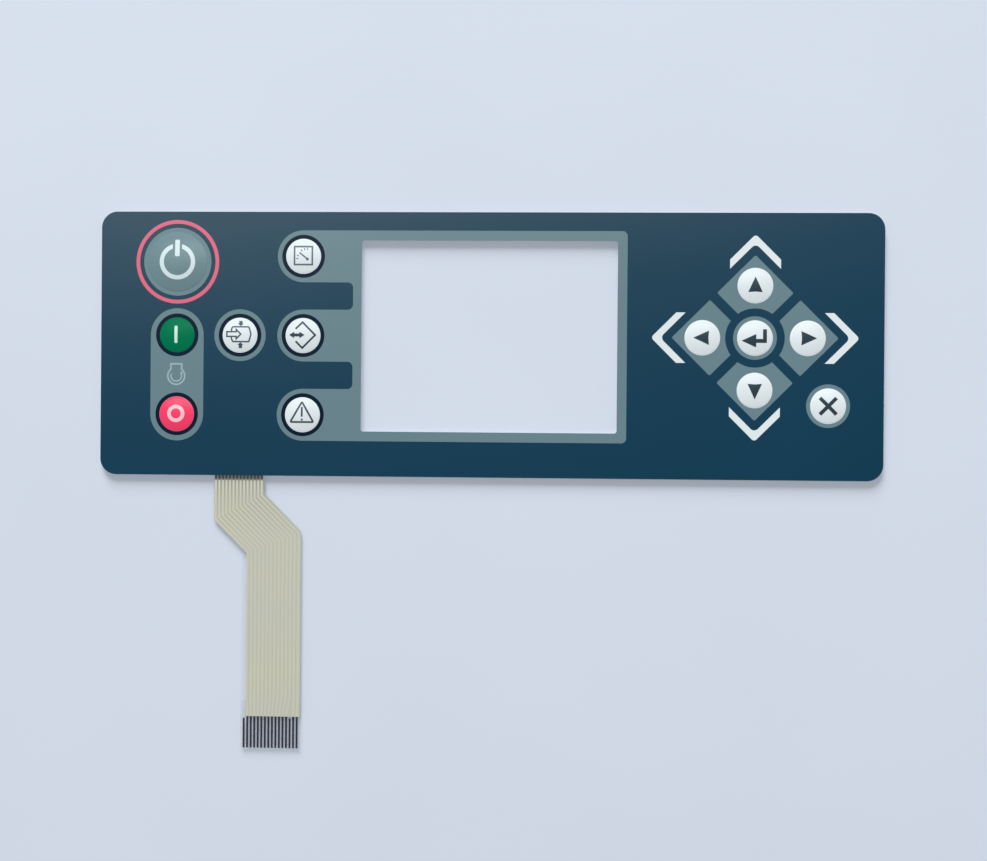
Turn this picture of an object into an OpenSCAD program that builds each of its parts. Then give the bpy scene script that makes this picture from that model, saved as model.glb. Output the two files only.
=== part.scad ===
// Membrane keypad: a laminate of die-cut films with embossed keys, a display cut-out and a film tail.
// It lies on its back: +Z points out of its face, +Y to its top edge, and the tail leaves towards -Y.
// The origin is the middle of the panel's outline, on the rear face.

/* [Panel] */
// Width of the panel
panel_w = 218.5; // [215:0.5:240]
// Height of the panel
panel_h = 74; // [72:0.5:90]
// Radius of the panel's corners
panel_corner_r = 4.5; // [1:0.1:8]
// How far the layers under the overlay stay back from its edges
edge_setback = 0.25; // [0.05:0.05:0.6]

/* [Display window] */
// Width of the cut-out
window_w = 71.5; // [40:0.5:74]
// Height of the cut-out
window_h = 53.5; // [30:0.5:56]
// Centre of the cut-out, across the panel
window_x = 0.1; // [-2:0.1:4]
// Radius of the cut-out's corners
window_corner_r = 0.8; // [0.4:0.1:3]

/* [Layer thicknesses] */
// Release liner
liner_t = 0.06; // [0.04:0.01:0.2]
// Rear adhesive
rear_adhesive_t = 0.13; // [0.05:0.01:0.3]
// Circuit film and tail
circuit_t = 0.125; // [0.05:0.005:0.25]
// Spacer
spacer_t = 0.25; // [0.1:0.01:0.4]
// Adhesive under the overlay
overlay_adhesive_t = 0.13; // [0.05:0.01:0.3]
// Overlay film
overlay_t = 0.25; // [0.125:0.005:0.35]
// Printed ink of the overlay
ink_t = 0.03; // [0.01:0.005:0.06]
// Printed silver and carbon
silver_t = 0.03; // [0.01:0.005:0.05]

/* [Keys] */
// Height of the middle row of keys, which is also the middle of the display cut-out
row_y = 2.35; // [0:0.05:4]
// Distance between rows of keys
row_pitch = 22.2; // [20:0.1:23]
// The column of the start and stop keys
first_column_x = -87.6; // [-92:0.1:-86]
// Distance between columns of keys
column_pitch = 17.8; // [16:0.1:18.5]
// Height of the power key above the start key
power_rise = 20.55; // [19:0.05:22]
// Diameter of a key's face
key_d = 9.85; // [8:0.05:11]
// Diameter of the power key's face
power_key_d = 16.9; // [14:0.1:18]
// Height of the shoulder of an embossed key above the panel
emboss_h = 0.1; // [0.05:0.05:0.5]
// Width of the shoulder, inside the edge of the face
shoulder_w = 0.6; // [0.4:0.05:1]
// Rise of a key's face from its shoulder to its middle
crown_h = 0.3; // [0.05:0.05:0.5]
// Rise of the power key's face from its shoulder to its middle
power_crown_h = 0.55; // [0.05:0.05:0.8]
// Width of the printed rim round a key
rim_w = 1.1; // [0.5:0.05:1.2]

/* [Cursor keys] */
// Centre of the enter key, across the panel
cursor_x = 73.8; // [66:0.1:78]
// Distance of the arrow keys from the enter key
cursor_reach = 14.5; // [13.5:0.1:15.5]
// Distance of the cancel key to the right of the enter key
cancel_dx = 20.2; // [19:0.1:22]
// Distance of the cancel key below the enter key
cancel_dy = 18.7; // [17:0.1:21]

/* [Printed fields] */
// Diameter of the grey pads behind the keys
pad_d = 14.55; // [13:0.05:16]
// Width of the grey field behind the start and stop keys
start_pad_w = 15; // [13:0.1:16]
// Grey border at the left of the display cut-out
field_left = 2.35; // [1:0.05:4]
// Grey border at the right of the display cut-out
field_right = 2.65; // [1:0.05:4]
// Radius of the grey border's outer corners
field_corner_r = 1.4; // [0.5:0.1:3]
// Radius of the corners between the grey arms
slot_corner_r = 1.5; // [0.5:0.1:3]
// Outer diameter of the ring round the power key
power_ring_d = 23.5; // [22:0.1:26]
// Width of the ring round the power key
power_ring_w = 1.05; // [0.5:0.05:1.5]
// Half diagonal of the grey diamonds behind the arrow keys
diamond_half = 10.5; // [9:0.1:11]
// Radius of the diamonds' corners
diamond_corner_r = 0.4; // [0.2:0.1:1]
// Distance of the diamonds' centres from the enter key
diamond_reach = 12.45; // [11.5:0.05:13]
// Radius of the bare circle round the enter key
cursor_gap_r = 8.2; // [7:0.1:8.6]
// Distance of the chevrons' sharp corners from the enter key
chevron_reach = 28.7; // [27:0.05:30]
// Half width of a chevron
chevron_half_w = 7; // [5:0.1:9]
// Width of a chevron's band, along the way it points
chevron_band = 2.55; // [1.5:0.05:3.5]
// Radius of a chevron's outer corner
chevron_outer_r = 0.9; // [0.3:0.1:2]
// Radius of a chevron's inner corner
chevron_inner_r = 1.4; // [0.3:0.1:2]

/* [Snap domes] */
// Diameter over the legs of a dome
dome_d = 8.5; // [6:0.1:9]
// Diameter over the legs of the power key's dome
power_dome_d = 12.2; // [8.5:0.1:14]
// Height of a dome
dome_h = 0.5; // [0.35:0.01:0.6]
// Thickness of a dome's sheet
dome_t = 0.06; // [0.04:0.005:0.1]
// Distance across the trimmed sides, as a part of the diameter over the legs
dome_trim = 0.78; // [0.72:0.01:0.95]
// Room round a dome in its pocket
pocket_clearance = 0.2; // [0.1:0.05:0.5]
// Width of the air channels between the pockets
vent_w = 1.2; // [0.5:0.1:2]

/* [Circuit] */
// Width of a trace
trace_w = 0.55; // [0.3:0.05:0.65]
// Room between a key's line and the ring that it passes through
trace_gap = 0.35; // [0.2:0.05:0.6]
// Diameter of the contact under a dome's middle
centre_pad_d = 3; // [2:0.1:4]
// Width of the ring that a dome's legs stand on
ring_w = 1.2; // [0.8:0.1:1.6]
// How far the ring runs out past the dome
ring_margin = 0.35; // [0.1:0.05:0.6]
// Distance of a line that passes beside a key
near_lane = 7; // [6.5:0.1:7.5]
// Distance of a second line that passes beside a key
far_lane = 8.5; // [8.2:0.1:9]
// Distance of the outermost lines from the panel's edges
lane_margin = 2.2; // [1:0.1:3]

/* [Tail] */
// Centre of the tail where it leaves the panel
tail_x = -69.95; // [-74:0.05:-66]
// Length of the tail below the panel
tail_len = 77.15; // [60:0.05:120]
// Sideways step from the tail's neck to its contact end
tail_step = 9.4; // [4:0.05:14]
// Distance from the panel's edge to the step, at the middle of the neck
step_drop = 9; // [6:0.05:20]
// How much later each trace steps aside than the one at its right, as a part of the pitch
step_lag = 0.53; // [0.4:0.01:0.7]
// Clear film beside the outer traces of the neck
neck_margin = 0.95; // [0.9:0.05:1.5]
// Pitch of the contacts, and of the traces in the neck
contact_pitch = 1; // [0.9:0.05:1.1]
// Clear film at the left of the straight run of traces
run_left = 1.75; // [1:0.05:2]
// Clear film at the right of the straight run of traces
run_right = 0.85; // [0.8:0.05:1.5]
// Width of a contact
contact_w = 0.55; // [0.3:0.05:0.7]
// Length of a contact
contact_len = 8.85; // [5:0.05:12]
// Clear film below the contacts
contact_end_margin = 0.6; // [0.2:0.1:2]
// How much shorter the contacts without a trace are
blind_step = 0.5; // [0.1:0.1:2]
// Length over which the traces draw together to the contacts
fan_len = 4.5; // [1.5:0.1:6]
// Straight traces between there and the contacts
fan_drop = 0.8; // [0.5:0.1:4]
// Thickness of the insulating coat
coat_t = 0.05; // [0.04:0.005:0.1]
// Height of the coat's ridges over the traces
coat_ridge_h = 0.02; // [0.01:0.005:0.05]
// Coat beside the outer traces of the neck
coat_neck_margin = 0.6; // [0.55:0.05:0.65]
// Coat beside the outer traces of the straight run
coat_run_margin = 0.5; // [0.45:0.05:0.6]
// How far the coat is printed to the right of the traces
coat_shift = 0.2; // [0:0.05:0.2]
// Bare traces between the panel's edge and the coat
coat_start = 1.4; // [0.3:0.1:3]
// Thickness of the stiffener under the contacts
stiffener_t = 0.175; // [0.05:0.005:0.19]
// Length of the stiffener
stiffener_len = 14; // [9:0.5:25]

/* [Hidden] */
curve_fn = 96;
arc_steps = 6;
overlap = 0.1;

// Heights of the layers, from the rear face up
rear_adhesive_z = liner_t;
circuit_z = rear_adhesive_z + rear_adhesive_t;
silver_z = circuit_z + circuit_t;
spacer_z = silver_z + silver_t;
overlay_adhesive_z = spacer_z + spacer_t;
overlay_z = overlay_adhesive_z + overlay_adhesive_t;
face_z = overlay_z + overlay_t;

// The forming punch is smaller than the die, so that the film keeps its thickness on the shoulder
form_inset = overlay_t * emboss_h / shoulder_w / 2;

// Keys in the order of their lines in the tail: name, centre, way out of its line, face ink, rim ink, size
middle_x = first_column_x + column_pitch;
last_x = first_column_x + 2 * column_pitch;
straight_down = [0, -near_lane];
keys = [
    ["power", [first_column_x, row_y + power_rise], [-far_lane, 0], "grey", "grey", power_key_d],
    ["start", [first_column_x, row_y], [-near_lane, 0], "green", "dark", key_d],
    ["stop", [first_column_x, row_y - row_pitch], straight_down, "red", "dark", key_d],
    ["load", [middle_x, row_y], straight_down, "white", "dark", key_d],
    ["gauge", [last_x, row_y + row_pitch], [-far_lane, 0], "white", "dark", key_d],
    ["service", [last_x, row_y], [-near_lane, 0], "white", "dark", key_d],
    ["alarm", [last_x, row_y - row_pitch], straight_down, "white", "dark", key_d],
    ["up", [cursor_x, row_y + cursor_reach], [-cursor_reach - far_lane, 0], "white", "grey", key_d],
    ["left", [cursor_x - cursor_reach, row_y], straight_down, "white", "grey", key_d],
    ["enter", [cursor_x, row_y], [-cursor_reach / 2, -cursor_reach / 2], "white", "grey", key_d],
    ["down", [cursor_x, row_y - cursor_reach], straight_down, "white", "grey", key_d],
    ["right", [cursor_x + cursor_reach, row_y], straight_down, "white", "grey", key_d],
    ["cancel", [cursor_x + cancel_dx, row_y - cancel_dy], straight_down, "white", "grey", key_d],
];

// Neighbouring keys, joined by an air channel and by the common line
neighbours = [
    ["power", "start"], ["start", "stop"], ["start", "load"],
    ["gauge", "service"], ["service", "alarm"],
    ["up", "enter"], ["left", "enter"], ["down", "enter"], ["right", "enter"], ["right", "cancel"],
];

function key(name) = keys[search([name], keys)[0]];
function spot(name) = key(name)[1];
function face_r(k) = k[5] / 2;
function base_r(k) = face_r(k) + rim_w;
function face_rise(k) = k[0] == "power" ? power_crown_h : crown_h;
function dome_r(k) = (k[0] == "power" ? power_dome_d : dome_d) / 2;
function ring_r(k) = dome_r(k) + ring_margin;

// Outline of a strip of one width along a path with mitred corners
function unit(v) = v / norm(v);
function left_of(v) = [-v.y, v.x];
function side(p, i) = left_of(unit(p[i + 1] - p[i]));
function mitre(a, b) = unit(a + b) / (unit(a + b) * a);
function side_at(p, i) =
    i == 0 ? side(p, 0) :
    i == len(p) - 1 ? side(p, i - 1) :
    mitre(side(p, i - 1), side(p, i));
function beside(p, d) = [for (i = [0:len(p) - 1]) p[i] + d * side_at(p, i)];
function reverse(list) = [for (i = [len(list) - 1:-1:0]) list[i]];
function strip(p, w) = concat(beside(p, w / 2), reverse(beside(p, -w / 2)));

// The tail: columns of its neck, its run and its contacts, and the line on which it steps aside
trace_count = len(keys) + 1;
contact_count = trace_count + 2;
end_x = tail_x + tail_step;
end_w = (contact_count + 1) * contact_pitch;
end_left = end_x - end_w / 2;
run_pitch = (end_w - run_left - run_right) / (trace_count - 1);
panel_bottom = -panel_h / 2;
tail_bottom = panel_bottom - tail_len;
contact_bottom = tail_bottom + contact_end_margin;
contact_top = contact_bottom + contact_len;
blind_contacts = [0, contact_count - 3];
function neck_column(i) = tail_x + (i - (trace_count - 1) / 2) * contact_pitch;
function contact_column(i) = end_x + (i - (contact_count - 1) / 2) * contact_pitch;
function run_column(i) = end_left + run_left + i * run_pitch;
function contact_of(i) = i + 1 < blind_contacts[1] ? i + 1 : i + 2;
function step_y(x) = panel_bottom - step_drop + step_lag * (x - tail_x);
function stepped(x_top, x_end, y_top, y_end) = [
    [x_top, y_top],
    [x_top, step_y(x_top)],
    [x_end, step_y(x_top) - (x_end - x_top)],
    [x_end, y_end],
];
function tail_path(i, y_top) = concat(
    stepped(neck_column(i), run_column(i), y_top, contact_top + fan_drop + fan_len),
    [[contact_column(contact_of(i)), contact_top + fan_drop], [contact_column(contact_of(i)), contact_top]]
);
function tail_band(neck, shift, left_end, right_end, y_top, y_end) = concat(
    stepped(neck_column(0) - neck + shift, left_end + shift, y_top, y_end),
    reverse(stepped(neck_column(trace_count - 1) + neck + shift, right_end + shift, y_top, y_end))
);

// The lines run to the tail in lanes along the lower edge, the outermost ones lowest
left_lines = 3;
function lane_y(i) =
    panel_bottom + lane_margin + (i < left_lines ? i : trace_count - 1 - i) * contact_pitch;
function line_path(i) = let (k = keys[i], out = k[1] + k[2]) concat(
    [k[1], out, [out.x, lane_y(i)]],
    tail_path(i, lane_y(i))
);
common_path = let (i = trace_count - 1, end = spot("cancel"), x = end.x + far_lane) concat(
    [end, [x, end.y], [x, lane_y(i)]],
    tail_path(i, lane_y(i))
);
bridge_y = panel_h / 2 - lane_margin;
bridge_path = [
    spot("up"), [spot("up").x, bridge_y], [spot("power").x, bridge_y], spot("power")
];
bridge_branch = [[spot("gauge").x, bridge_y], spot("gauge")];

module rounded_rect(w, h, r) {
    square([w - 2 * r, h], center = true);
    square([w, h - 2 * r], center = true);
    for (x = [-1, 1], y = [-1, 1])
        translate([x * (w / 2 - r), y * (h / 2 - r)]) circle(r, $fn = curve_fn);
}

module window(setback) {
    translate([window_x, row_y])
        rounded_rect(window_w + 2 * setback, window_h + 2 * setback, window_corner_r + setback);
}

// Outline of a layer, which stays back from the overlay's edges
module sheet(setback) {
    difference() {
        rounded_rect(panel_w - 2 * setback, panel_h - 2 * setback, panel_corner_r - setback);
        window(setback);
    }
}

module layer(z, t, setback = edge_setback) {
    translate([0, 0, z]) linear_extrude(t) sheet(setback);
}

module at_keys(list) {
    for (k = list) translate(k[1]) {
        $key = k;
        children();
    }
}

// Profile of an embossed key: its rounded shoulder, from the panel up, and then its crowned face
function shoulder(foot_r) = [
    for (i = [0:arc_steps - 1]) let (t = i / arc_steps)
        [foot_r - shoulder_w * t, emboss_h * (1 - cos(180 * t)) / 2]
];
function crown(edge_r, rise) = [
    for (i = [0:arc_steps]) let (t = 1 - i / arc_steps)
        [edge_r * t, emboss_h + rise * (1 - t * t)]
];
function key_profile(k, inset) = let (foot_r = face_r(k) - inset)
    concat(shoulder(foot_r), crown(foot_r - shoulder_w, face_rise(k)));

module emboss(k, inset) {
    rotate_extrude($fn = curve_fn)
        polygon(concat([[0, -overlap], [face_r(k) - inset, -overlap]], key_profile(k, inset)));
}

module graphic_overlay() {
    color("#1d3f55") difference() {
        union() {
            layer(overlay_z, overlay_t, 0);
            translate([0, 0, face_z]) at_keys(keys) emboss($key, 0);
        }
        translate([0, 0, overlay_z]) at_keys(keys) emboss($key, form_inset);
    }
}

// Ink on the faces of the keys of this colour
module key_ink(ink) {
    translate([0, 0, face_z]) at_keys([for (k = keys) if (k[3] == ink) k]) {
        profile = key_profile($key, 0);
        rotate_extrude($fn = curve_fn)
            polygon(concat(profile, reverse([for (p = profile) p + [0, ink_t]])));
    }
}

module face_ink() {
    translate([0, 0, face_z]) linear_extrude(ink_t) children();
}

module circle_at(p, r) {
    translate(p) circle(r, $fn = curve_fn);
}

// Flat rims of the keys that have this colour there
module rims(ink) {
    for (k = keys) if (k[4] == ink) difference() {
        circle_at(k[1], base_r(k));
        circle_at(k[1], face_r(k));
    }
}

// Border of the display cut-out, with an arm to each key beside it
module display_field() {
    left = window_x - window_w / 2 - field_left;
    right = window_x + window_w / 2 + field_right;
    height = 2 * row_pitch + pad_d;
    slot_left = last_x - pad_d;
    difference() {
        union() {
            translate([(left + right) / 2, row_y]) rounded_rect(right - left, height, field_corner_r);
            translate([last_x, row_y - height / 2]) square([window_x - last_x, height]);
        }
        for (s = [-1, 1])
            translate([(slot_left + left) / 2, row_y + s * row_pitch / 2])
                rounded_rect(left - slot_left, row_pitch - pad_d, slot_corner_r);
        window(0);
    }
    for (name = ["gauge", "service", "alarm"]) circle_at(spot(name), pad_d / 2);
}

module start_stop_field() {
    translate([first_column_x - start_pad_w / 2, row_y - row_pitch]) square([start_pad_w, row_pitch]);
    for (name = ["start", "stop"]) circle_at(spot(name), start_pad_w / 2);
}

module diamonds() {
    side = diamond_half * sqrt(2);
    translate(spot("enter")) difference() {
        for (turn = [0:90:270])
            rotate(turn) translate([0, diamond_reach]) rotate(45) rounded_rect(side, side, diamond_corner_r);
        circle(cursor_gap_r, $fn = curve_fn);
    }
}

module grey_print() {
    color("#6f868e") {
        face_ink() {
            difference() {
                union() {
                    display_field();
                    start_stop_field();
                    circle_at(spot("load"), pad_d / 2);
                    diamonds();
                }
                for (k = keys) circle_at(k[1], k[4] == "grey" ? face_r(k) : base_r(k));
            }
            rims("grey");
        }
        key_ink("grey");
    }
}

// A right-angled corner that points along +Y, rounded to r, with its sharp point at y
function corner(y, r) = [
    for (i = [0:arc_steps]) let (a = 45 + 90 * i / arc_steps)
        [0, y - r * sqrt(2)] + r * [cos(a), sin(a)]
];

module chevron() {
    inner = chevron_reach - chevron_band;
    ends = [chevron_half_w, -chevron_half_w];
    polygon(concat(
        [[ends[0], chevron_reach - chevron_half_w]], corner(chevron_reach, chevron_outer_r),
        [[ends[1], chevron_reach - chevron_half_w], [ends[1], inner - chevron_half_w]],
        reverse(corner(inner, chevron_inner_r)), [[ends[0], inner - chevron_half_w]]
    ));
}

module white_print() {
    color("#e4eaee") {
        face_ink() translate(spot("enter")) for (turn = [0:90:270]) rotate(turn) chevron();
        key_ink("white");
    }
}

module dark_print() {
    color("#10192a") face_ink() rims("dark");
}

module red_print() {
    color("#d9476b") {
        face_ink() translate(spot("power")) difference() {
            circle(power_ring_d / 2, $fn = curve_fn);
            circle(power_ring_d / 2 - power_ring_w, $fn = curve_fn);
        }
        key_ink("red");
    }
}

module green_print() {
    color("#0b6a52") key_ink("green");
}

module overlay_adhesive() {
    color("#d8dcd8") translate([0, 0, overlay_adhesive_z]) linear_extrude(overlay_adhesive_t) difference() {
        sheet(edge_setback);
        for (k = keys) circle_at(k[1], face_r(k));
    }
}

module spacer() {
    color("#c9cfd2") translate([0, 0, spacer_z]) linear_extrude(spacer_t) difference() {
        sheet(edge_setback);
        for (k = keys) circle_at(k[1], dome_r(k) + pocket_clearance);
        for (pair = neighbours) polygon(strip([spot(pair[0]), spot(pair[1])], vent_w));
    }
}

// Four-legged snap dome: a thin cap with its sides trimmed, so that only its legs stand on the ring
module snap_dome(k) {
    r = dome_r(k);
    rise = dome_h - dome_t;
    cap_r = (r * r + rise * rise) / (2 * rise);
    cap = [
        for (i = [0:arc_steps]) let (x = r * i / arc_steps)
            [x, sqrt(cap_r * cap_r - x * x) - cap_r + rise]
    ];
    turn = k[2].x * k[2].y == 0 ? 0 : 45;
    color("silver") translate([k[1].x, k[1].y, spacer_z]) intersection() {
        rotate_extrude($fn = curve_fn) polygon(concat(cap, reverse([for (p = cap) p + [0, dome_t]])));
        rotate(turn) cube([2 * r * dome_trim, 2 * r * dome_trim, 4 * dome_h], center = true);
    }
}

module silver_ink() {
    color("#b9bcba") translate([0, 0, silver_z]) linear_extrude(silver_t) children();
}

// One line for each key, from the contact under its dome to the tail
module signal_traces() {
    for (i = [0:len(keys) - 1]) silver_ink() {
        polygon(strip(line_path(i), trace_w));
        circle_at(keys[i][1], centre_pad_d / 2);
    }
}

// The rings under the domes' legs, all on one line
module common_trace() {
    difference() {
        union() {
            for (k = keys) silver_ink() circle_at(k[1], ring_r(k));
            for (pair = neighbours) silver_ink() polygon(strip([spot(pair[0]), spot(pair[1])], trace_w));
            for (path = [common_path, bridge_path, bridge_branch]) silver_ink() polygon(strip(path, trace_w));
        }
        for (k = keys) translate([0, 0, silver_z - overlap]) linear_extrude(silver_t + 2 * overlap) {
            circle_at(k[1], ring_r(k) - ring_w);
            polygon(strip([k[1], k[1] + unit(k[2]) * (ring_r(k) + trace_gap)], trace_w + 2 * trace_gap));
        }
    }
}

// Insulating coat, which fills in between the traces and stands up in a ridge over each of them
module tail_coat() {
    top = panel_bottom - coat_start;
    color("#bdbeae") difference() {
        translate([0, 0, silver_z]) union() {
            linear_extrude(coat_t) polygon(tail_band(
                coat_neck_margin, coat_shift, run_column(0) - coat_run_margin,
                run_column(trace_count - 1) + coat_run_margin, top, contact_top
            ));
            for (i = [0:trace_count - 1])
                linear_extrude(coat_t + coat_ridge_h) polygon(strip(tail_path(i, top), trace_w));
        }
        for (i = [0:trace_count - 1])
            silver_ink() polygon(strip(tail_path(i, panel_bottom), trace_w));
    }
}

module contact_fingers() {
    color("#1b1d22") translate([0, 0, silver_z]) for (i = [0:contact_count - 1]) {
        blind = len(search(i, blind_contacts)) > 0;
        translate([contact_column(i) - contact_w / 2, contact_bottom, 0])
            cube([contact_w, contact_len - (blind ? blind_step : 0), silver_t]);
    }
}

module circuit_film() {
    color("#cfd6dc") translate([0, 0, circuit_z]) linear_extrude(circuit_t) {
        sheet(edge_setback);
        polygon(tail_band(
            neck_margin, 0, end_left, end_left + end_w, panel_bottom + panel_corner_r, tail_bottom
        ));
    }
}

module tail_stiffener() {
    color("#dfe4e8") translate([end_left, tail_bottom, circuit_z - stiffener_t])
        cube([end_w, stiffener_len, stiffener_t]);
}

module rear_adhesive() {
    color("#d8dcd8") layer(rear_adhesive_z, rear_adhesive_t);
}

module release_liner() {
    color("#efeee6") layer(0, liner_t);
}

graphic_overlay();
grey_print();
white_print();
dark_print();
red_print();
green_print();
overlay_adhesive();
spacer();
signal_traces();
common_trace();
tail_coat();
contact_fingers();
circuit_film();
tail_stiffener();
rear_adhesive();
release_liner();
for (k = keys) snap_dome(k);
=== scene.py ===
# %% [markdown]
# # A membrane keypad
# The keypad is a sandwich of thin films: a navy face film with embossed keys and a display cut-out, a
# spacer with snap domes, and a printed circuit film whose tail runs out below. They all come from the CAD
# frame, at their real size and place. This lesson dresses that frame: it sets the camera and the light,
# gives every film, ink and metal its finish, and prints the signs on the keys.

# %% Load the frame
import math

import bpy
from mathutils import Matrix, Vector


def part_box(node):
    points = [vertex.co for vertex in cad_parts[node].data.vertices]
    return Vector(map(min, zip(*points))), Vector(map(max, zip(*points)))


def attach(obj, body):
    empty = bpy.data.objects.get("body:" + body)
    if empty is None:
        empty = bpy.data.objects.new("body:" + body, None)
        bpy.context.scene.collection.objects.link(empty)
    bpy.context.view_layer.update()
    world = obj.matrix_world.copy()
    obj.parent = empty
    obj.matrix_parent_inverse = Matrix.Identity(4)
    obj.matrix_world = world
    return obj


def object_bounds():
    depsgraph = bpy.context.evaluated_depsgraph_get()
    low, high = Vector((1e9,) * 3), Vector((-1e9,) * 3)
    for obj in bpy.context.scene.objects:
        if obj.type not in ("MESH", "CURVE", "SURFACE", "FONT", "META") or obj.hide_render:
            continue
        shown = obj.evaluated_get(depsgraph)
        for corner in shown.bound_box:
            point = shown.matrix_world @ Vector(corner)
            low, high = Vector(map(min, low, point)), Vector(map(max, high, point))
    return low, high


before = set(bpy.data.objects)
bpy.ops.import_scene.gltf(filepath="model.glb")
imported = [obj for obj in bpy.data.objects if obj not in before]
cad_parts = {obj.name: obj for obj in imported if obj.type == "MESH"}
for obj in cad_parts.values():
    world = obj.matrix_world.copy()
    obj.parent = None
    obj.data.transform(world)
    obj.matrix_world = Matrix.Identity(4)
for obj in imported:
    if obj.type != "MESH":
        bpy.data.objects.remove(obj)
cad_low, cad_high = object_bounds()

MM = 0.001
print("CAD box in mm:", [round((high - low) / MM, 3) for low, high in zip(cad_low, cad_high)])

# %% [markdown]
# ## Camera
# The keypad lies flat and is seen from almost straight above. The camera could be moved by eye until it
# looks right, but a flat print shows every error of angle. So the lens and the place were worked out from
# where the panel's corners, its cut-out and its keys fall in the picture.

# %% Set the camera
IMAGE_W = 987
FOCAL_PX = 1400
SENSOR_MM = 36
CAMERA_AT = Vector((17.49, -23.07, 390.89)) * MM
CAMERA_TURN_DEG = (-0.091, 2.329, 0.471)


def clear_selection():
    """Leaves nothing selected, so that an operator acts on the new piece alone."""
    bpy.ops.object.select_all(action="DESELECT")


clear_selection()
bpy.ops.object.camera_add(location=CAMERA_AT, rotation=[math.radians(a) for a in CAMERA_TURN_DEG])
camera = bpy.context.object
camera.data.sensor_width = SENSOR_MM
camera.data.lens = FOCAL_PX * SENSOR_MM / IMAGE_W
bpy.context.scene.camera = camera
print("lens in mm:", round(camera.data.lens, 2))

# %% [markdown]
# ## Shader helpers
# Every finish below is a Principled shader with a few noise patterns, so the same small steps come again
# and again. They are named here once. Patterns read Object coordinates: every piece sits at the origin, so
# a grain keeps its real size from piece to piece. A value that is the same all over stays on the shader.

# %% Name the steps of a finish
def linear(red, green, blue):
    """A colour as a picture shows it, from 0 to 255, in the linear values that a shader takes."""
    shown = [part / 255 for part in (red, green, blue)]
    parts = [part / 12.92 if part <= 0.04045 else ((part + 0.055) / 1.055) ** 2.4 for part in shown]
    return parts + [1.0]


def shade(colour, factor):
    """The same colour, lighter or darker."""
    return [min(part * factor, 1.0) for part in colour[:3]] + [1.0]


def new_finish(name, values):
    """A new material. Gives its node tree, and its shader with the plain values set."""
    finish = bpy.data.materials.new(name)
    finish.use_nodes = True
    shader = finish.node_tree.nodes["Principled BSDF"]
    for socket, value in values.items():
        shader.inputs[socket].default_value = value
    return finish, finish.node_tree, shader


def add(tree, kind, values, feeds):
    """Adds a shader node, sets and feeds its sockets, and gives its first output."""
    made = tree.nodes.new("ShaderNode" + kind)
    for socket, value in values.items():
        made.inputs[socket].default_value = value
    feed(tree, made, feeds)
    return made.outputs[0]


def feed(tree, made, feeds):
    """Feeds sockets of a node from the outputs of others."""
    for socket, source in feeds.items():
        tree.links.new(source, made.inputs[socket])


def object_place(tree):
    """Where a point lies in the frame."""
    return tree.nodes.new("ShaderNodeTexCoord").outputs["Object"]


def along(tree, place, axis):
    """One coordinate of a place."""
    split = tree.nodes.new("ShaderNodeSeparateXYZ")
    tree.links.new(place, split.inputs[0])
    return split.outputs[axis]


def noise(tree, place, size, detail=2.0):
    """A cloudy pattern whose spots are about this size, in mm."""
    return add(tree, "TexNoise", {"Scale": 1 / (size * MM), "Detail": detail}, {"Vector": place})


def spread(tree, factor, low, high, span=(0.25, 0.75)):
    """Maps a pattern onto a range of values, and stops at its ends."""
    ends = {"From Min": span[0], "From Max": span[1], "To Min": low, "To Max": high}
    return add(tree, "MapRange", ends, {"Value": factor})


def two_tone(tree, factor, first, second, span=(0.25, 0.75)):
    """A colour that goes from the first to the second as a pattern rises."""
    ramp = tree.nodes.new("ShaderNodeValToRGB")
    for stop, place, colour in zip(ramp.color_ramp.elements, span, (first, second)):
        stop.position = place
        stop.color = colour
    tree.links.new(factor, ramp.inputs[0])
    return ramp.outputs[0]


def blend(tree, factor, first, second):
    """Goes from one colour pattern to another."""
    return add(tree, "MixRGB", {}, {"Fac": factor, "Color1": first, "Color2": second})


def relief(tree, height, depth):
    """Bumps of this depth, in mm."""
    return add(tree, "Bump", {"Strength": 1.0, "Distance": depth * MM}, {"Height": height})


def dress(finish, *names):
    """Gives CAD nodes a finish."""
    for name in names:
        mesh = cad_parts[name].data
        mesh.materials.clear()
        mesh.materials.append(finish)
    print(finish.name, "on", ", ".join(names))


# %% [markdown]
# ## Table and light
# The real keypad lies on a pale sheet in soft daylight. Its films aren't quite flat, so the table lies a
# hair lower, and the shadow gets its real breadth. Two things show where the light comes from: a short soft
# shadow below the lower edges, and a broad sheen at the top left. One lamp could not give both. A large low
# lamp beyond the top edge stands for a window: it casts the shadow and shades the crowned keys. A second
# one, high up and without a shadow, stands for the bright ceiling that the film mirrors. A dim even world
# fills the rest. The shares of all three add up to a level at which a colour looks as it is written.

# %% Lay the table
TABLE_SIZE = 4
TABLE_DROP = 0.45 * MM
TABLE_COLOUR = linear(215, 223, 236)

clear_selection()
bpy.ops.mesh.primitive_plane_add(size=TABLE_SIZE, location=(0, 0, cad_low.z - TABLE_DROP))
table = bpy.context.object
table.name = "table"
finish, tree, shader = new_finish("table_sheet", {"Roughness": 0.7, "Specular IOR Level": 0.1})
cloud = noise(tree, object_place(tree), 90)
tone = two_tone(tree, cloud, shade(TABLE_COLOUR, 0.985), shade(TABLE_COLOUR, 1.015))
feed(tree, shader, {"Base Color": tone})
table.data.materials.append(finish)
print("table in mm below the keypad:", round(TABLE_DROP / MM, 2))

# %% Hang the lamps and set the world
LAMP_REACH = 3.5
WINDOW = {"way": (-0.15, 0.9, 0.42), "width": 1.75, "height": 1.75, "share": 0.46, "shadow": True}
CEILING = {"way": (-0.045, 0.25, 0.9), "width": 2.86, "height": 0.6, "share": 0.25, "shadow": False}
WORLD_SHARE = 0.32


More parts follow.
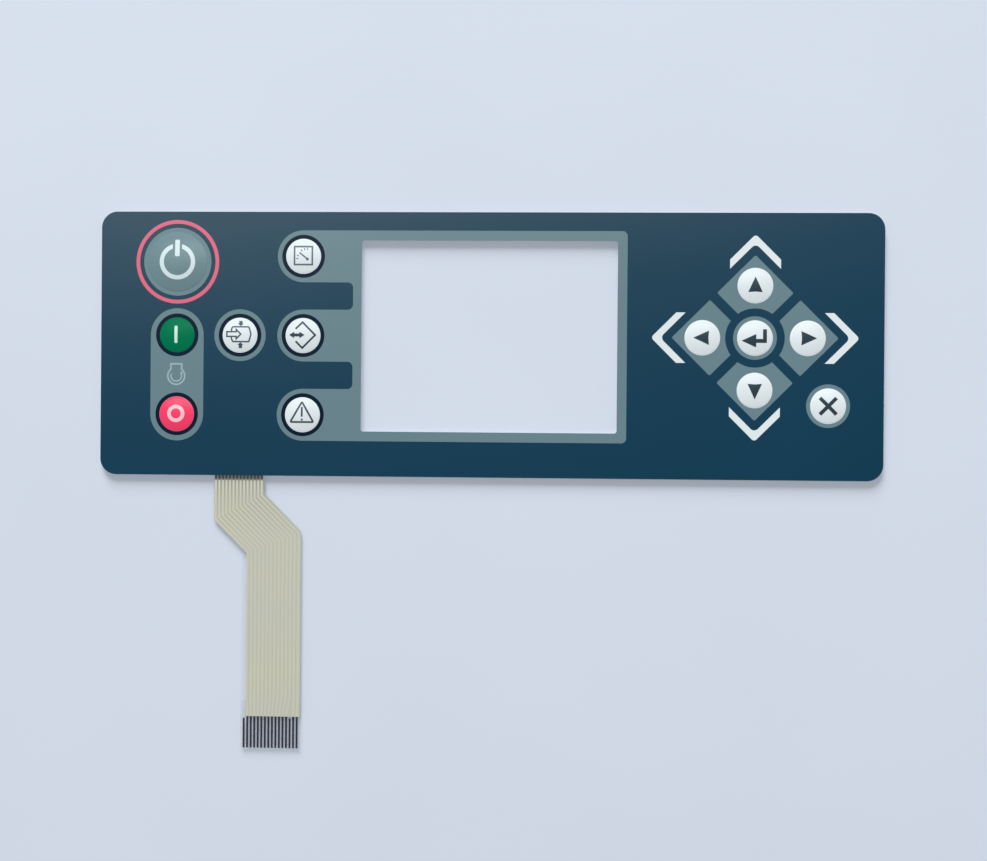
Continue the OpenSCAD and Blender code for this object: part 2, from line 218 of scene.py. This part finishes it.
def hang_lamp(way, width, height, share, shadow):
    """A flat lamp that faces the keypad and gives this share of the light on the table."""
    way = Vector(way).normalized()
    turn = (-way).to_track_quat("-Z", "Y").to_euler()
    clear_selection()
    bpy.ops.object.light_add(type="AREA", location=way * LAMP_REACH, rotation=turn)
    lamp = bpy.context.object.data
    lamp.shape = "RECTANGLE"
    lamp.size = width
    lamp.size_y = height
    lamp.use_shadow = shadow
    lamp.energy = share * math.pi ** 2 * LAMP_REACH ** 2 / way.z
    print("lamp in W:", round(lamp.energy, 2), "at", round(math.degrees(math.asin(way.z))), "degrees")


hang_lamp(**WINDOW)
hang_lamp(**CEILING)
world = bpy.data.worlds.new("room")
world.use_nodes = True
world.node_tree.nodes["Background"].inputs["Color"].default_value = (0.96, 0.98, 1.0, 1.0)
world.node_tree.nodes["Background"].inputs["Strength"].default_value = WORLD_SHARE
bpy.context.scene.world = world
bpy.context.scene.view_settings.view_transform = "Standard"

# %% [markdown]
# ## Face film and its inks
# The face is polyester film with a fine velvet texture, printed in flat colours. One finish serves for all
# of them: the colour drifts a little from place to place, as screen print does, and the grain gives the
# gloss its soft, broad look. Only the ink changes from field to field. Two inks differ a little between a
# field and a key. The keys are embossed, so height tells them apart: what rises over the flat print is a
# key.

# %% Dress the face
SHEEN = (0.88, 1.0, 0.92, 1.0)
GRAIN = 0.16
GRAIN_DEPTH = 0.0012
DRIFT = 60
PRINT_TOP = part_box("dark_print")[1].z
KEY_EDGE = (PRINT_TOP + 0.005 * MM, PRINT_TOP + 0.02 * MM)


def printed_film(name, colour, raised=None, drift=0.03, gloss=(0.22, 0.27), specular=0.27):
    """A printed colour under the velvet texture of the face film, and a second one on raised keys."""
    finish, tree, shader = new_finish(name, {"Specular IOR Level": specular, "Specular Tint": SHEEN})
    place = object_place(tree)
    cloud = noise(tree, place, DRIFT, 3.0)
    grain = noise(tree, place, GRAIN)
    tone = two_tone(tree, cloud, shade(colour, 1 - drift), shade(colour, 1 + drift))
    if raised:
        key_tone = two_tone(tree, cloud, shade(raised, 1 - drift), shade(raised, 1 + drift))
        on_key = spread(tree, along(tree, place, "Z"), 0, 1, KEY_EDGE)
        tone = blend(tree, on_key, tone, key_tone)
    feed(tree, shader, {
        "Base Color": tone,
        "Roughness": spread(tree, grain, *gloss),
        "Normal": relief(tree, grain, GRAIN_DEPTH),
    })
    return finish


dress(printed_film("navy_film", linear(0, 56, 81), drift=0.05), "graphic_overlay")
dress(printed_film("grey_ink", linear(104, 131, 140), raised=linear(112, 139, 146)), "grey_print")
dress(printed_film("white_ink", linear(227, 236, 239)), "white_print")
dress(printed_film("dark_ink", linear(0, 24, 46), specular=0.12), "dark_print")
dress(printed_film("red_ink", linear(222, 100, 128), raised=linear(255, 62, 106)), "red_print")
dress(printed_film("green_ink", linear(0, 119, 80), specular=0.05), "green_print")

# %% [markdown]
# ## Tail
# The tail is clear film with silver lines under a beige insulating coat. The coat stands up in a low ridge
# over each line, and the eye reads these as pale stripes with darker furrows between them. The ridges are
# real steps in the CAD coat, so the stripe pattern simply reads the height of the surface and follows
# every bend of the lines. The stripes look strongest near the panel, where the lines lie closest.

# %% Dress the coat
coat_low, coat_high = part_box("tail_coat")
RIDGE_SIDE = (coat_high.z - 0.016 * MM, coat_high.z - 0.004 * MM)
COAT_COOL = linear(199, 200, 189)
COAT_WARM = linear(205, 205, 182)
COAT_FURROW = linear(192, 193, 176)
COAT_FURROW_TOP = linear(176, 176, 160)
EDGE_RIDGE = linear(212, 212, 197)
EDGE_FURROW = linear(159, 159, 142)
COAT_CLOUD = 14
FURROW_FADE = (coat_high.y - 16 * MM, coat_high.y - 2 * MM)
EDGE_FADE = (coat_high.y - 5 * MM, coat_high.y)


def coat_finish():
    """Beige coat with pale ridges, whose stripes grow stronger towards the panel."""
    finish, tree, shader = new_finish("insulating_coat", {"Specular IOR Level": 0.3})
    place = object_place(tree)
    grain = noise(tree, place, 0.3)
    cloud = noise(tree, place, COAT_CLOUD)
    near_panel = spread(tree, along(tree, place, "Y"), 0, 1, FURROW_FADE)
    furrow = two_tone(tree, near_panel, COAT_FURROW, COAT_FURROW_TOP, (0, 1))
    crest = two_tone(tree, cloud, COAT_COOL, COAT_WARM)
    ridge = spread(tree, along(tree, place, "Z"), 0, 1, RIDGE_SIDE)
    at_edge = spread(tree, along(tree, place, "Y"), 0, 1, EDGE_FADE)
    edge = two_tone(tree, ridge, EDGE_FURROW, EDGE_RIDGE, (0, 1))
    feed(tree, shader, {
        "Base Color": blend(tree, at_edge, blend(tree, ridge, furrow, crest), edge),
        "Roughness": spread(tree, grain, 0.42, 0.55),
        "Normal": relief(tree, grain, 0.002),
    })
    return finish


dress(coat_finish(), "tail_coat")

# %% Dress the lines
# The dark line tone is painted shade of the panel's edge. It is strongest at the edge and fades towards the
# coat.
LINE_PAINTED_SHADE = linear(64, 68, 68)
LINE_SILVER = linear(176, 178, 174)
BARE_SHADE_FADE = (coat_high.y - 0.3 * MM, coat_high.y + 0.6 * MM)


def bare_strip_shade(tree, place):
    """Nought on the coated tail, and one where the lines lie bare in the panel's shadow: a mask for painted
    shade.
    """
    return spread(tree, along(tree, place, "Y"), 0, 1, BARE_SHADE_FADE)


def line_finish():
    """Silver lines, painted dark as shade where they lie bare in the panel's shadow."""
    finish, tree, shader = new_finish("silver_line", {"Metallic": 0.3, "Roughness": 0.5})
    place = object_place(tree)
    feed(tree, shader, {
        "Base Color": two_tone(tree, bare_strip_shade(tree, place), LINE_SILVER, LINE_PAINTED_SHADE, (0, 1)),
        "Normal": relief(tree, noise(tree, place, 0.05), 0.002),
    })
    return finish


dress(line_finish(), "signal_traces", "common_trace")

# %% Dress the contacts
CONTACT_DARK = linear(24, 28, 40)
CONTACT_WORN = linear(44, 50, 64)


def contact_finish():
    """Matte carbon print, worn a little paler in patches."""
    finish, tree, shader = new_finish("carbon_contact", {"Specular IOR Level": 0.3})
    place = object_place(tree)
    grain = noise(tree, place, 0.08)
    feed(tree, shader, {
        "Base Color": two_tone(tree, noise(tree, place, 1.6, 4.0), CONTACT_DARK, CONTACT_WORN),
        "Roughness": spread(tree, grain, 0.45, 0.6),
        "Normal": relief(tree, grain, 0.003),
    })
    return finish


dress(contact_finish(), "contact_fingers")

# %% [markdown]
# ## Clear films
# The film of the tail and the stiffener under its end are clear, so they could be glass. But glass this
# thin only slows the render, and a shader that lets most of the light straight through looks the same. A
# short strip between the coat and the panel is bare and lies in the panel's shadow. There, between the
# outer lines only, the film is painted a darker brown as shade, and it lets less light through.

# %% Dress the clear films
FILM_HAZE = linear(204, 208, 220)
# The brown tone and the higher alpha of the bare strip are painted shade of the panel's edge, kept between
# the outer lines.
FILM_PAINTED_SHADE = linear(148, 146, 132)
FILM_ALPHA = 0.08
STIFFENER_ALPHA = 0.06
PAINTED_SHADE_ALPHA = 0.6
PAINTED_SHADE_LEFT = (-77 * MM, -76.6 * MM)
PAINTED_SHADE_RIGHT = (-63.3 * MM, -62.9 * MM)


def painted_shade_part(tree, place):
    """How much painted shade lies on the film: only in the bare strip, between the outer lines."""
    side = along(tree, place, "X")
    left = spread(tree, side, 0, 1, PAINTED_SHADE_LEFT)
    ends = {"From Min": PAINTED_SHADE_RIGHT[0], "From Max": PAINTED_SHADE_RIGHT[1], "To Max": 0}
    between = add(tree, "MapRange", ends, {"Value": side, "To Min": left})
    return add(tree, "MapRange", {"To Min": 0}, {"Value": bare_strip_shade(tree, place), "To Max": between})


def clear_film(name, alpha, shaded_strip=False):
    """Clear film with a faint haze. With painted shade on, it turns a darker brown beyond the end of the
    coat, in the panel's shadow.
    """
    finish, tree, shader = new_finish(name, {"Alpha": alpha, "Specular IOR Level": 0.5})
    place = object_place(tree)
    haze = noise(tree, place, 6, 3.0)
    tone = two_tone(tree, haze, shade(FILM_HAZE, 0.96), shade(FILM_HAZE, 1.03))
    if shaded_strip:
        shade_amount = painted_shade_part(tree, place)
        shade_brown = two_tone(tree, haze, shade(FILM_PAINTED_SHADE, 0.94), shade(FILM_PAINTED_SHADE, 1.06))
        tone = blend(tree, shade_amount, tone, shade_brown)
        feed(tree, shader, {"Alpha": spread(tree, shade_amount, alpha, PAINTED_SHADE_ALPHA, (0, 1))})
    feed(tree, shader, {
        "Base Color": tone,
        "Roughness": spread(tree, haze, 0.15, 0.25),
        "Normal": relief(tree, noise(tree, place, 2.5), 0.004),
    })
    return finish


dress(clear_film("clear_circuit_film", FILM_ALPHA, shaded_strip=True), "circuit_film")
dress(clear_film("clear_stiffener", STIFFENER_ALPHA), "tail_stiffener")

# %% [markdown]
# ## Layers inside and behind
# Little of these shows: the edges of the adhesives and the spacer round the cut-out, and the paper liner
# at the back. They still get their own finish, because the part may be opened up or turned over. Adhesive
# is pale and tacky, the spacer is milky film, the liner is smooth paper with fibres, and the domes are
# spring steel that was rolled, so that its grain runs one way.

# %% Dress the layers
def soft_layer(name, colour, spot_size, gloss, depth):
    """A pale layer with uneven tone and a low relief."""
    finish, tree, shader = new_finish(name, {"Specular IOR Level": 0.4})
    place = object_place(tree)
    spots = noise(tree, place, spot_size, 4.0)
    feed(tree, shader, {
        "Base Color": two_tone(tree, spots, shade(colour, 0.95), shade(colour, 1.04)),
        "Roughness": spread(tree, spots, *gloss),
        "Normal": relief(tree, spots, depth),
    })
    return finish


def dome_steel():
    """Bright rolled steel, with grain along X."""
    finish, tree, shader = new_finish("dome_steel", {"Metallic": 1.0})
    stretch = tree.nodes.new("ShaderNodeMapping")
    stretch.inputs["Scale"].default_value = (0.05, 1, 1)
    tree.links.new(object_place(tree), stretch.inputs["Vector"])
    grain = noise(tree, stretch.outputs[0], 0.06, 3.0)
    feed(tree, shader, {
        "Base Color": two_tone(tree, grain, linear(186, 187, 188), linear(214, 214, 213)),
        "Roughness": spread(tree, grain, 0.18, 0.32),
        "Normal": relief(tree, grain, 0.001),
    })
    return finish


tacky = soft_layer("tacky_adhesive", linear(212, 216, 212), 2.0, (0.25, 0.4), 0.004)
dress(tacky, "overlay_adhesive", "rear_adhesive")
dress(soft_layer("milky_spacer", linear(203, 209, 213), 8.0, (0.35, 0.45), 0.001), "spacer")
dress(soft_layer("liner_paper", linear(238, 236, 228), 0.4, (0.5, 0.65), 0.004), "release_liner")
dress(dome_steel(), *[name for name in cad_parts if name.startswith("dome_")])

# %% [markdown]
# ## Drawing the signs
# The signs on the keys are thin ink. A picture on the surface would blur close up, so each sign is a flat
# shape, drawn at its real size round the origin, then laid on its crowned key and given the thickness of a
# coat of ink. Solid parts start from a plane or a circle. A line is drawn by extruding one vertex from
# point to point: a low wall is raised on it and made as thick as the pen, and only its upper side is kept.

# %% Tools for solid shapes
ROUND_SIDES = 64


def pick(kind, test):
    """Selects, in edit mode, the vertices, edges or faces of the active piece that pass a test."""
    bpy.ops.object.mode_set(mode="EDIT")
    bpy.ops.mesh.select_mode(type=kind)
    bpy.ops.mesh.select_all(action="DESELECT")
    bpy.ops.object.mode_set(mode="OBJECT")
    mesh = bpy.context.object.data
    for part in {"VERT": mesh.vertices, "EDGE": mesh.edges, "FACE": mesh.polygons}[kind]:
        part.select = test(part)
    bpy.ops.object.mode_set(mode="EDIT")


def fit(left, right, low, high):
    """Scales and moves the active flat shape so that it fills a rectangle, in mm. Gives the piece."""
    piece = bpy.context.object
    xs = [v.co.x for v in piece.data.vertices]
    ys = [v.co.y for v in piece.data.vertices]
    grow = ((right - left) * MM / (max(xs) - min(xs)), (high - low) * MM / (max(ys) - min(ys)), 1)
    bpy.ops.object.mode_set(mode="EDIT")
    bpy.ops.mesh.select_all(action="SELECT")
    bpy.ops.transform.resize(value=grow, center_override=(0, 0, 0))
    bpy.ops.transform.translate(value=(left * MM - min(xs) * grow[0], low * MM - min(ys) * grow[1], 0))
    bpy.ops.object.mode_set(mode="OBJECT")
    return piece


def plate(left, right, low, high, corner=0):
    """A rectangle, with its corners rounded."""
    clear_selection()
    bpy.ops.mesh.primitive_plane_add(size=MM)
    piece = fit(left, right, low, high)
    if corner:
        pick("VERT", lambda v: True)
        bpy.ops.mesh.bevel(offset=corner * MM, segments=4, affect="VERTICES")
        bpy.ops.object.mode_set(mode="OBJECT")
    return piece


def disc(x, y, radius, sides=ROUND_SIDES, turn=0):
    """A filled circle, or a polygon with few sides."""
    clear_selection()
    bpy.ops.mesh.primitive_circle_add(
        vertices=sides, radius=radius * MM, fill_type="NGON", rotation=(0, 0, math.radians(turn)))
    bpy.ops.object.transform_apply(location=False, rotation=True, scale=False)
    bpy.ops.object.mode_set(mode="EDIT")
    bpy.ops.mesh.select_all(action="SELECT")
    bpy.ops.transform.translate(value=(x * MM, y * MM, 0))
    bpy.ops.object.mode_set(mode="OBJECT")
    return bpy.context.object


def triangle(left, right, low, high, turn=0):
    """A triangle that fills a rectangle. It points up, or is turned by quarter turns to the left."""
    disc(0, 0, 1, sides=3, turn=turn)
    return fit(left, right, low, high)


def ring(x, y, outer, inner):
    """A flat ring: a disc whose face is inset, and the inner face removed."""
    piece = disc(x, y, outer)
    pick("FACE", lambda f: True)
    bpy.ops.mesh.inset(thickness=(outer - inner) * MM)
    bpy.ops.mesh.delete(type="FACE")
    bpy.ops.object.mode_set(mode="OBJECT")
    return piece


# %% Tools for lines
WALL_H = 1 * MM


def pen(points, width, closed=False, corner=0):
    """A line through the points, in mm: one vertex is extruded from point to point."""
    spots = [Vector((x, y, 0)) * MM for x, y in points]
    clear_selection()
    bpy.ops.mesh.primitive_plane_add(size=MM)
    bpy.ops.object.mode_set(mode="EDIT")
    bpy.ops.mesh.select_mode(type="VERT")
    bpy.ops.mesh.merge(type="CENTER")
    bpy.ops.transform.translate(value=spots[0])
    for start, end in zip(spots, spots[1:]):
        bpy.ops.mesh.extrude_region_move(TRANSFORM_OT_translate={"value": end - start})
    if closed:
        pick("VERT", lambda v: min((v.co - spots[0]).length, (v.co - spots[-1]).length) < 0.01 * MM)
        bpy.ops.mesh.edge_face_add()
    return broaden(width, corner)


def broaden(width, corner=0):
    """Gives the active line of edges its breadth, and rounds its corners."""
    piece = bpy.context.object
    pick("EDGE", lambda e: True)
    bpy.ops.mesh.extrude_region_move(TRANSFORM_OT_translate={"value": (0, 0, WALL_H)})
    bpy.ops.mesh.select_all(action="SELECT")
    bpy.ops.mesh.normals_make_consistent(inside=False)
    if corner:
        bpy.ops.object.mode_set(mode="OBJECT")
        uses = [key for face in piece.data.polygons for key in face.edge_keys]
        spots = [v.co.copy() for v in piece.data.vertices]
        upright = {key for key in uses if abs(spots[key[0]].z - spots[key[1]].z) > WALL_H / 2}
        shared = {key for key in upright if uses.count(key) == 2}
        pick("EDGE", lambda e: tuple(sorted(e.vertices)) in shared)
        bpy.ops.mesh.bevel(offset=corner * MM, segments=5, affect="EDGES")
    bpy.ops.object.mode_set(mode="OBJECT")
    breadth = piece.modifiers.new("breadth", "SOLIDIFY")
    breadth.thickness = width * MM
    breadth.offset = 0
    breadth.use_even_offset = True
    bpy.ops.object.modifier_apply(modifier=breadth.name)
    pick("FACE", lambda f: f.normal.z < 0.5)
    bpy.ops.mesh.delete(type="FACE")
    bpy.ops.mesh.select_all(action="SELECT")
    bpy.ops.transform.translate(value=(0, 0, -WALL_H))
    bpy.ops.object.mode_set(mode="OBJECT")
    return piece


# %% Tools for laying a sign on its key
INK_T = 0.012
INK_LIFT = 0.006
LONGEST_EDGE = 0.7
DROP_FROM = 5 * MM


def key_spot(key):
    """Middle of a key, which the snap dome under it marks."""
    low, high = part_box("dome_" + key)
    return (low + high) / 2


def combine(name, parts):
    """Joins flat shapes to one sign."""
    clear_selection()
    for part in parts:
        part.select_set(True)
    bpy.context.view_layer.objects.active = parts[0]
    if len(parts) > 1:
        bpy.ops.object.join()
    parts[0].name = name
    parts[0].data.name = name
    return parts[0]


def refine(piece):
    """Cuts long edges, so that a flat shape can follow a crowned face."""
    pick("FACE", lambda f: True)
    bpy.ops.mesh.quads_convert_to_tris()
    bpy.ops.object.mode_set(mode="OBJECT")
    for _ in range(4):
        spots = [v.co.copy() for v in piece.data.vertices]
        pick("EDGE", lambda e: (spots[e.vertices[0]] - spots[e.vertices[1]]).length > LONGEST_EDGE * MM)
        bpy.ops.mesh.subdivide(number_cuts=1)
        bpy.ops.object.mode_set(mode="OBJECT")


def lay(sign, spot, node, finish):
    """Lays a sign on the printed CAD face below the spot, with its thickness, and makes it ride there."""
    refine(sign)
    clear_selection()
    sign.select_set(True)
    bpy.context.view_layer.objects.active = sign
    sign.location = (spot.x, spot.y, cad_high.z + DROP_FROM)
    bpy.ops.object.transform_apply(location=True, rotation=True, scale=False)
    wrap = sign.modifiers.new("wrap", "SHRINKWRAP")
    wrap.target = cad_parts[node]
    wrap.wrap_method = "PROJECT"
    wrap.use_project_z = True
    wrap.use_negative_direction = True
    wrap.use_positive_direction = False
    wrap.wrap_mode = "ABOVE_SURFACE"
    wrap.offset = INK_LIFT * MM
    bpy.ops.object.modifier_apply(modifier=wrap.name)
    coat = sign.modifiers.new("coat", "SOLIDIFY")
    coat.thickness = INK_T * MM
    coat.offset = 1
    bpy.ops.object.modifier_apply(modifier=coat.name)
    pick("FACE", lambda f: True)
    bpy.ops.mesh.remove_doubles(threshold=0.001 * MM)
    bpy.ops.mesh.normals_make_consistent(inside=False)
    bpy.ops.object.mode_set(mode="OBJECT")
    bpy.ops.object.shade_smooth_by_angle(angle=math.radians(30))
    sign.data.materials.clear()
    sign.data.materials.append(finish)
    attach(sign, "root")
    tops = [v.co.z / MM for v in sign.data.vertices]
    print(sign.name, len(sign.data.polygons), "faces, up to", round(max(tops), 3), "mm high")


# %% [markdown]
# ## Power, start and stop
# The power sign is a ring with a gap, and a bar in the gap. The ring is a disc with its middle taken out,
# cut by two straight bisects, so that the gap has parallel sides as in print. Start is a bar, and stop is
# a ring. Pale ink on a strong colour takes a tint of it, so each of these signs has its own pale tone.

# %% Print the power sign
POWER_OUTER = 5.03
POWER_INNER = 3.82
POWER_GAP = 1.3
POWER_BAR = (0.66, 1.48, 6.15)


def power_sign():
    """A ring with a gap at its top, and a bar in the gap."""
    circle = ring(0, 0, POWER_OUTER, POWER_INNER)
    for side in (-1, 1):
        pick("FACE", lambda f: True)
        bpy.ops.mesh.bisect(plane_co=(side * POWER_GAP * MM, 0, 0), plane_no=(1, 0, 0))
    pick("FACE", lambda f: abs(f.center.x) < POWER_GAP * MM and f.center.y > 0)
    bpy.ops.mesh.delete(type="FACE")
    bpy.ops.object.mode_set(mode="OBJECT")
    half, low, high = POWER_BAR
    return combine("power_sign", [circle, plate(-half, half, low, high, corner=0.2)])


pale = printed_film("sign_pale", linear(215, 232, 235))
lay(power_sign(), key_spot("power"), "grey_print", pale)

# %% Print the start and stop signs
START_BAR = (0.44, 2.42)
START_SHIFT = (-0.27, 0.12)
STOP_OUTER = 2.45
STOP_INNER = 1.42
STOP_SHIFT = (-0.16, 0.1)

half_w, half_h = START_BAR
x, y = START_SHIFT
mint = printed_film("sign_mint", linear(198, 240, 220))
start_sign = combine("start_sign", [plate(x - half_w, x + half_w, y - half_h, y + half_h, corner=0.3)])
lay(start_sign, key_spot("start"), "green_print", mint)
blush = printed_film("sign_blush", linear(255, 202, 212))
stop_sign = combine("stop_sign", [ring(*STOP_SHIFT, STOP_OUTER, STOP_INNER)])
lay(stop_sign, key_spot("stop"), "red_print", blush)

# %% [markdown]
# ## Engine sign
# Between the start and stop keys a thin pale sign is printed on the grey field: a round body with a neck,
# and a turning arrow inside it. It is a circle whose top is removed and whose two loose ends are extruded
# up and joined, so the outline stays one line.

# %% Print the engine sign
ENGINE_R = 2.4
ENGINE_NECK = 1.45
ENGINE_TOP = 3.37
ENGINE_PEN = 0.45
ENGINE_SHIFT = (-0.2, -0.42)
TURN_R = 1.5
TURN_TOP = 0.7
TURN_PEN = 0.38
TURN_HEAD = (0.98, 1.88, 0.6, 1.35)


def arc(radius, keep):
    """A circle of edges, of which only the vertices that pass a test are kept."""
    clear_selection()
    bpy.ops.mesh.primitive_circle_add(vertices=ROUND_SIDES, radius=radius * MM)
    pick("VERT", lambda v: not keep(v.co / MM))
    bpy.ops.mesh.delete(type="VERT")
    bpy.ops.object.mode_set(mode="OBJECT")
    return bpy.context.object


def engine_sign():
    """A round body with a neck, and an arrow that turns inside it."""
    body = arc(ENGINE_R, lambda p: p.y < 0 or abs(p.x) > ENGINE_NECK)
    ends = max(v.co.y for v in body.data.vertices)
    pick("VERT", lambda v: v.co.y > ends - 0.01 * MM)
    bpy.ops.mesh.extrude_region_move(TRANSFORM_OT_translate={"value": (0, ENGINE_TOP * MM - ends, 0)})
    bpy.ops.mesh.edge_face_add()
    body = broaden(ENGINE_PEN)
    arc(TURN_R, lambda p: p.y < TURN_TOP)
    return combine("engine_sign", [body, broaden(TURN_PEN), triangle(*TURN_HEAD)])


mist = printed_film("sign_mist", linear(158, 182, 187))
engine_spot = (key_spot("start") + key_spot("stop")) / 2 + Vector((*ENGINE_SHIFT, 0)) * MM
lay(engine_sign(), engine_spot, "grey_print", mist)

# %% [markdown]
# ## Signs of the white keys on the left
# These are line drawings: a vessel that is filled, a gauge, a diamond that an arrow enters, and a triangle
# for an alarm. Each line is one pen stroke with mitred corners, and small solid arrows are a plate with a
# triangle at its end. The shapes touch but don't lie on each other, so no face is doubled. Thin lines take
# less ink than solid shapes, so the finest drawings have a paler ink.

# %% Print the vessel
VESSEL_PEN = 0.4
VESSEL = [(-2.37, 1.15), (-2.37, 1.7), (-2.02, 2.34), (2.55, 2.34), (3.14, 0.3),
          (2.55, -1.83), (-1.98, -1.83), (-2.37, -1.05), (-2.37, -0.56)]
INFLOW = [(-3.7, 0.95), (-1.0, 0.95), (-1.0, 1.6), (0.3, 0.29),
          (-1.0, -1.04), (-1.0, -0.36), (-3.7, -0.36)]
TOP_ARROW = (0.26, 0.46, 0.86, 3.98, 3.3, 2.55)
LOW_ARROW = (0.18, 0.48, 0.86, -3.64, -2.74, -2.04)


def short_arrow(x, shaft, head, tail, neck, tip):
    """A solid arrow along Y, with the half widths of its shaft and head."""
    head_turn = 0 if tip > neck else 180
    rod = plate(x - shaft, x + shaft, min(tail, neck), max(tail, neck))
    return [rod, triangle(x - head, x + head, min(neck, tip), max(neck, tip), turn=head_turn)]


vessel = [pen(VESSEL, VESSEL_PEN, corner=0.25), pen(INFLOW, VESSEL_PEN, closed=True)]
load_sign = combine("load_sign", vessel + short_arrow(*TOP_ARROW) + short_arrow(*LOW_ARROW))
fine = printed_film("sign_fine", linear(66, 80, 88))
lay(load_sign, key_spot("load"), "white_print", fine)

# %% Print the gauge
GAUGE_FRAME = (-2.75, 2.72, -2.57, 2.92)
GAUGE_PEN = 0.46
GAUGE_PIVOT = (1.1, -0.78)
GAUGE_HUB = 0.42
NEEDLE_DEG = 141
NEEDLE = (0.41, 2.85, 0.2)
TICK_DEG = (90, 106, 124, 160, 177)
TICK = (2.55, 3.15, 0.25)


def ray(degrees, start, end, width):
    """A short line along a radius of the gauge."""
    direction = Vector((math.cos(math.radians(degrees)), math.sin(math.radians(degrees))))
    return pen([Vector(GAUGE_PIVOT) + direction * reach for reach in (start, end)], width)


def gauge_sign():
    """A square dial with ticks and a needle on a hub in its lower corner."""
    dial = plate(*GAUGE_FRAME)
    pick("FACE", lambda f: True)
    bpy.ops.mesh.inset(thickness=GAUGE_PEN * MM)
    bpy.ops.mesh.delete(type="FACE")
    bpy.ops.object.mode_set(mode="OBJECT")
    ticks = [ray(degrees, *TICK) for degrees in TICK_DEG]
    start, end, half = NEEDLE
    needle = ray(NEEDLE_DEG, start, end, 2 * half)
    return combine("gauge_sign", [dial, disc(*GAUGE_PIVOT, GAUGE_HUB, sides=24), needle] + ticks)


faint = printed_film("sign_faint", linear(100, 110, 118))
lay(gauge_sign(), key_spot("gauge"), "white_print", faint)

# %% Print the diamond and the alarm triangle
DIAMOND = [(-2.06, 1.85), (-0.1, 3.72), (3.45, 0.14), (-0.18, -3.5), (-2.02, -1.62)]
DIAMOND_PEN = 0.5
SLIDE = (-3.9, -2.45, -0.95, 0.5)
SLIDE_Y = 0.14
SLIDE_SHAFT = 0.42
SLIDE_HEAD = 0.9
ALARM = [(-3.38, -2.03), (3.12, -2.03), (-0.1, 3.62)]
ALARM_PEN = 0.52
ALARM_BAR = (-0.38, 0.14, -0.55, 2.2)
ALARM_DOT = (-0.37, 0.13, -1.62, -1.1)

tip, neck, far_neck, far_tip = SLIDE
slide = [
    plate(neck, far_neck, SLIDE_Y - SLIDE_SHAFT, SLIDE_Y + SLIDE_SHAFT),
    triangle(tip, neck, SLIDE_Y - SLIDE_HEAD, SLIDE_Y + SLIDE_HEAD, turn=90),
    triangle(far_neck, far_tip, SLIDE_Y - SLIDE_HEAD, SLIDE_Y + SLIDE_HEAD, turn=270),
]
service_sign = combine("service_sign", [pen(DIAMOND, DIAMOND_PEN)] + slide)
dark = printed_film("sign_dark", linear(43, 60, 70))
lay(service_sign, key_spot("service"), "white_print", dark)
outline = pen(ALARM, ALARM_PEN, closed=True, corner=0.35)
alarm_sign = combine("alarm_sign", [outline, plate(*ALARM_BAR), plate(*ALARM_DOT)])
lay(alarm_sign, key_spot("alarm"), "white_print", fine)

# %% [markdown]
# ## Cursor keys
# The four arrows are one shape, so the arrow is modelled once, with a base that is pulled in a little, and
# then copied and turned for each key. Enter is a stroke with a corner and a solid head, and cancel is a
# square whose four edges are extruded to a cross and turned by an eighth.

# %% Print the arrows
ARROW = (-1.98, 1.98, -1.81, 2.51)
ARROW_PULL = 0.15
ARROW_TURNS = {"up": 0, "left": 90, "down": 180, "right": 270}


def arrow_sign():
    """A tall triangle whose base is pulled in."""
    piece = triangle(*ARROW)
    low = ARROW[2] * MM
    spots = piece.data.vertices
    pick("EDGE", lambda e: all(abs(spots[i].co.y - low) < 0.01 * MM for i in e.vertices))
    bpy.ops.mesh.subdivide(number_cuts=1)
    pick("VERT", lambda v: abs(v.co.x) < 0.01 * MM and v.co.y < 0)
    bpy.ops.transform.translate(value=(0, ARROW_PULL * MM, 0))
    bpy.ops.object.mode_set(mode="OBJECT")
    return piece


pattern = arrow_sign()
for key, turn in ARROW_TURNS.items():
    clear_selection()
    pattern.select_set(True)
    bpy.context.view_layer.objects.active = pattern
    bpy.ops.object.duplicate()
    copy = combine(key + "_sign", [bpy.context.object])
    copy.rotation_euler.z = math.radians(turn)
    bpy.ops.object.transform_apply(location=False, rotation=True, scale=False)
    lay(copy, key_spot(key), "white_print", dark)
bpy.data.objects.remove(pattern)

# %% Print the enter and cancel signs
ENTER_HEAD = (-3.7, 0.31, -2.62, 1.1)
ENTER_PEN = 1.08
ENTER_Y = -0.81
ENTER_LEG_X = 2.71
ENTER_LEG_TOP = 2.43
CANCEL_PEN = 1.02
CANCEL_ARM = 2.7

shaft = pen([(ENTER_HEAD[1], ENTER_Y), (ENTER_LEG_X, ENTER_Y), (ENTER_LEG_X, ENTER_LEG_TOP)], ENTER_PEN)
enter_sign = combine("enter_sign", [shaft, triangle(*ENTER_HEAD, turn=90)])
lay(enter_sign, key_spot("enter"), "white_print", dark)


def cancel_sign():
    """A cross with square ends, turned by an eighth."""
    half = CANCEL_PEN / 2
    piece = plate(-half, half, -half, half)
    for way in (Vector((1, 0, 0)), Vector((0, 1, 0)), Vector((-1, 0, 0)), Vector((0, -1, 0))):
        spots = [v.co.copy() for v in piece.data.vertices]
        side = way * half * MM
        pick("EDGE", lambda e: (sum((spots[i] for i in e.vertices), -2 * side)).length < 0.02 * MM)
        bpy.ops.mesh.extrude_region_move(TRANSFORM_OT_translate={"value": way * CANCEL_ARM * MM})
        bpy.ops.object.mode_set(mode="OBJECT")
    piece = combine("cancel_sign", [piece])
    piece.rotation_euler.z = math.radians(45)
    bpy.ops.object.transform_apply(location=False, rotation=True, scale=False)
    return piece


lay(cancel_sign(), key_spot("cancel"), "white_print", dark)
